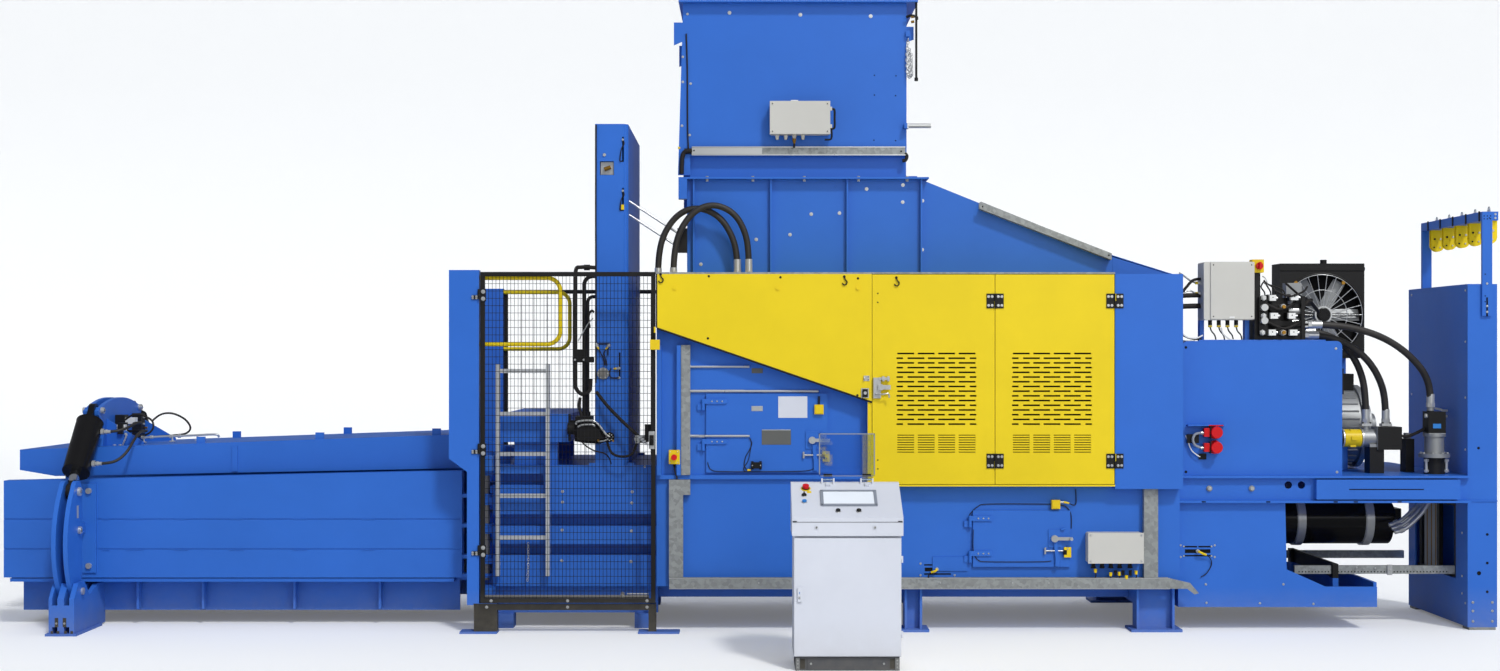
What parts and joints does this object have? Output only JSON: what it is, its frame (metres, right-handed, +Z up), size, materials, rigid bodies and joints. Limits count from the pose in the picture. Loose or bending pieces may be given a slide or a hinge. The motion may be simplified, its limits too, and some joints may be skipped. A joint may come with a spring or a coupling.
{
  "type": "recycling baler",
  "caption": "Channel baler with top hopper, folding louvred hood doors, mesh tying guard, needle mast, squeeze clamp, power pack, wire cabinet and separate console.",
  "frame": {"origin": "on the floor under the middle of the bounding box", "axes": "+X along the machine towards the power pack, +Y away from the operator's side, +Z up"},
  "size_m": [10.339, 3.5988, 4.377],
  "materials": {
    "blue": "gloss",
    "yellow": "gloss",
    "black_steel": "satin",
    "chromed": "polished",
    "zinc": "matt",
    "alloy": "matt",
    "rubber": "matt",
    "light_grey": "satin",
    "clear": "clear",
    "red_plastic": "gloss",
    "black_plastic": "matt",
    "blue_plastic": "gloss"
  },
  "bodies": {
    "machine": {"channel_floor": "blue", "tie_frame": "blue", "frame_front": "blue", "frame_back": "blue", "press_channel": "blue", "feed_shaft": "blue", "hopper": "blue", "hood_column": "blue", "needle_mast": "blue", "power_deck": "blue", "oil_tank": "blue", "wire_cabinet": "blue", "hood_panel": "yellow", "fixed_guards": "yellow", "main_cylinder": "black_steel", "tying_unit": "black_steel", "oil_cooler": "black_steel", "cable_ducts": "zinc", "ladder": "alloy", "pump_motor": "alloy", "valve_block": "alloy", "hood_hoses": "rubber", "pump_hoses": "rubber", "terminal_boxes": "light_grey", "console_body": "light_grey"},
    "ram": {"press_ram": "blue", "main_rod": "chromed"},
    "flap": {"prepress_flap": "blue"},
    "fill_barrel": {"prepress_barrel": "black_steel"},
    "fill_rod": {"prepress_rod": "chromed"},
    "needles": {"needle_frame": "zinc"},
    "guard": {"guard_door": "black_steel"},
    "hood_right": {"hood_door_right": "yellow"},
    "hood_left": {"hood_door_left": "yellow"},
    "chamber_hatch": {"chamber_door": "blue"},
    "chamber_handle": {"chamber_latch": "zinc"},
    "ram_hatch": {"ram_door": "blue"},
    "ram_handle": {"ram_latch": "zinc"},
    "lid": {"channel_lid": "blue", "clamp_hoses": "rubber"},
    "wall_front": {"channel_wall_front": "blue"},
    "wall_back": {"channel_wall_back": "blue"},
    "lever_front": {"clamp_lever_front": "blue"},
    "lever_back": {"clamp_lever_back": "blue"},
    "barrel_front": {"clamp_barrel_front": "black_steel"},
    "barrel_back": {"clamp_barrel_back": "black_steel"},
    "rod_front": {"clamp_rod_front": "chromed"},
    "rod_back": {"clamp_rod_back": "chromed"},
    "cover": {"console_cover": "clear"},
    "desk_door": {"console_door": "light_grey"},
    "desk_stop": {"console_stop": "red_plastic"},
    "desk_switch": {"console_switch": "black_plastic"},
    "button_blue": {"console_button_blue": "blue_plastic"},
    "button_left": {"console_button_left": "black_plastic"},
    "button_right": {"console_button_right": "black_plastic"},
    "fan": {"cooler_fan": "alloy"},
    "pulleys": {"wire_pulleys": "black_steel"},
    "side_stop": {"frame_stop": "red_plastic"},
    "isolator": {"isolator_knob": "red_plastic"},
    "coupling": {"pump_coupling": "black_plastic"}
  },
  "joints": [
    {"name": "ram_slide", "type": "slide", "parent": "machine", "child": "ram", "axis": [-1, 0, 0], "range_m": [0, 1.5]},
    {"name": "flap_hinge", "type": "hinge", "parent": "machine", "child": "flap", "pos_m": [1.18, 0.71, 1.2], "axis": [0, -1, 0], "range_deg": [0, 100]},
    {"name": "fill_trunnion", "type": "hinge", "parent": "machine", "child": "fill_barrel", "pos_m": [2.4, 0.71, 1.65], "axis": [0, -1, 0], "range_deg": [-4.61, 0]},
    {"name": "fill_rod_slide", "type": "slide", "parent": "fill_barrel", "child": "fill_rod", "axis": [-0.97, 0, -0.2431], "range_m": [0, 0.4806]},
    {"name": "needle_lift", "type": "slide", "parent": "machine", "child": "needles", "axis": [0, 0, -1], "range_m": [0, 0.95]},
    {"name": "guard_hinge", "type": "hinge", "parent": "machine", "child": "guard", "pos_m": [-1.84, -0.252, 1.25], "axis": [0, 0, -1], "range_deg": [0, 105]},
    {"name": "hood_right_hinge", "type": "hinge", "parent": "machine", "child": "hood_right", "pos_m": [2.48, -0.248, 1.7], "axis": [0, 0, 1], "range_deg": [0, 85]},
    {"name": "hood_left_hinge", "type": "hinge", "parent": "hood_right", "child": "hood_left", "pos_m": [1.666, -0.248, 1.7], "axis": [0, 0, 1], "range_deg": [0, 145]},
    {"name": "chamber_hatch_hinge", "type": "hinge", "parent": "machine", "child": "chamber_hatch", "pos_m": [-0.32, -0.162, 1.4], "axis": [0, 0, -1], "range_deg": [0, 105]},
    {"name": "chamber_handle_turn", "type": "hinge", "parent": "chamber_hatch", "child": "chamber_handle", "pos_m": [0.425, -0.19, 1.312], "axis": [0, 1, 0], "range_deg": [0, 90]},
    {"name": "ram_hatch_hinge", "type": "hinge", "parent": "machine", "child": "ram_hatch", "pos_m": [1.505, -0.162, 0.64], "axis": [0, 0, -1], "range_deg": [0, 105]},
    {"name": "ram_handle_turn", "type": "hinge", "parent": "ram_hatch", "child": "ram_handle", "pos_m": [2.08, -0.19, 0.64], "axis": [0, 1, 0], "range_deg": [0, 90]},
    {"name": "lid_hinge", "type": "hinge", "parent": "machine", "child": "lid", "pos_m": [-2, 0.71, 1.2], "axis": [0, -1, 0], "range_deg": [0, 1.2]},
    {"name": "wall_front_hinge", "type": "hinge", "parent": "machine", "child": "wall_front", "pos_m": [-1.836, 0.11, 0.7], "axis": [0, 0, -1], "range_deg": [0, 0.602]},
    {"name": "wall_back_hinge", "type": "hinge", "parent": "machine", "child": "wall_back", "pos_m": [-1.836, 1.31, 0.7], "axis": [0, 0, 1], "range_deg": [0, 0.602]},
    {"name": "lever_front_hinge", "type": "hinge", "parent": "machine", "child": "lever_front", "pos_m": [-4.645, -0.205, 0.285], "axis": [-1, 0, 0], "range_deg": [0, 4]},
    {"name": "lever_back_hinge", "type": "hinge", "parent": "machine", "child": "lever_back", "pos_m": [-4.645, 1.625, 0.285], "axis": [1, 0, 0], "range_deg": [0, 4]},
    {"name": "barrel_front_pivot", "type": "hinge", "parent": "lid", "child": "barrel_front", "pos_m": [-4.645, 0.29, 1.5], "axis": [1, 0, 0], "range_deg": [0, 0.2258]},
    {"name": "barrel_back_pivot", "type": "hinge", "parent": "lid", "child": "barrel_back", "pos_m": [-4.645, 1.13, 1.5], "axis": [-1, 0, 0], "range_deg": [0, 0.2258]},
    {"name": "rod_front_slide", "type": "slide", "parent": "barrel_front", "child": "rod_front", "axis": [0, 0.6485, 0.7612], "range_m": [0, 0.06978]},
    {"name": "rod_back_slide", "type": "slide", "parent": "barrel_back", "child": "rod_back", "axis": [0, -0.6485, 0.7612], "range_m": [0, 0.06978]},
    {"name": "cover_hinge", "type": "hinge", "parent": "machine", "child": "cover", "pos_m": [0.6, -1.44749, 1.12611], "axis": [1, 0, 0], "range_deg": [0, 115]},
    {"name": "desk_door_hinge", "type": "hinge", "parent": "machine", "child": "desk_door", "pos_m": [0.912, -1.78, 0.45], "axis": [0, 0, 1], "range_deg": [0, 120]},
    {"name": "stop_press", "type": "slide", "parent": "machine", "child": "desk_stop", "axis": [0, 0.461, -0.8874], "range_m": [0, 0.004], "stiffness_N_per_m": 900},
    {"name": "blue_press", "type": "slide", "parent": "machine", "child": "button_blue", "axis": [0, 0.461, -0.8874], "range_m": [0, 0.004], "stiffness_N_per_m": 600},
    {"name": "left_press", "type": "slide", "parent": "machine", "child": "button_left", "axis": [0, 0.461, -0.8874], "range_m": [0, 0.004], "stiffness_N_per_m": 600},
    {"name": "right_press", "type": "slide", "parent": "machine", "child": "button_right", "axis": [0, 0.461, -0.8874], "range_m": [0, 0.004], "stiffness_N_per_m": 600},
    {"name": "switch_turn", "type": "hinge", "parent": "machine", "child": "desk_switch", "pos_m": [0.33, -1.57846, 1.0417], "axis": [0, -0.461, 0.8874], "range_deg": [-45, 45]},
    {"name": "side_stop_press", "type": "slide", "parent": "machine", "child": "side_stop", "axis": [0, 1, 0], "range_m": [0, 0.004], "stiffness_N_per_m": 900},
    {"name": "isolator_turn", "type": "hinge", "parent": "machine", "child": "isolator", "pos_m": [3.51, -0.07, 2.508], "axis": [0, 1, 0], "range_deg": [0, 90]},
    {"name": "fan_spin", "type": "hinge", "parent": "machine", "child": "fan", "pos_m": [4.166, 0.739, 2.186], "axis": [0, 1, 0], "continuous": true},
    {"name": "pulley_spin", "type": "hinge", "parent": "machine", "child": "pulleys", "pos_m": [5.1, 0.46, 2.73], "axis": [0, 1, 0], "continuous": true},
    {"name": "coupling_spin", "type": "hinge", "parent": "machine", "child": "coupling", "pos_m": [4.23, 0.21, 1.31], "axis": [1, 0, 0], "continuous": true}
  ],
  "couplings": [
    {"joint": "fill_trunnion", "follows": "flap_hinge", "ratio": -0.046021},
    {"joint": "fill_rod_slide", "follows": "flap_hinge", "m_per_rad": 0.27522},
    {"joint": "wall_front_hinge", "follows": "lid_hinge", "ratio": 0.5},
    {"joint": "wall_back_hinge", "follows": "lid_hinge", "ratio": 0.5},
    {"joint": "lever_front_hinge", "follows": "lid_hinge", "ratio": 3.3333},
    {"joint": "lever_back_hinge", "follows": "lid_hinge", "ratio": 3.3333},
    {"joint": "barrel_front_pivot", "follows": "lid_hinge", "ratio": 0.18398},
    {"joint": "barrel_back_pivot", "follows": "lid_hinge", "ratio": 0.18398},
    {"joint": "rod_front_slide", "follows": "lid_hinge", "m_per_rad": 3.3222},
    {"joint": "rod_back_slide", "follows": "lid_hinge", "m_per_rad": 3.3222}
  ]
}
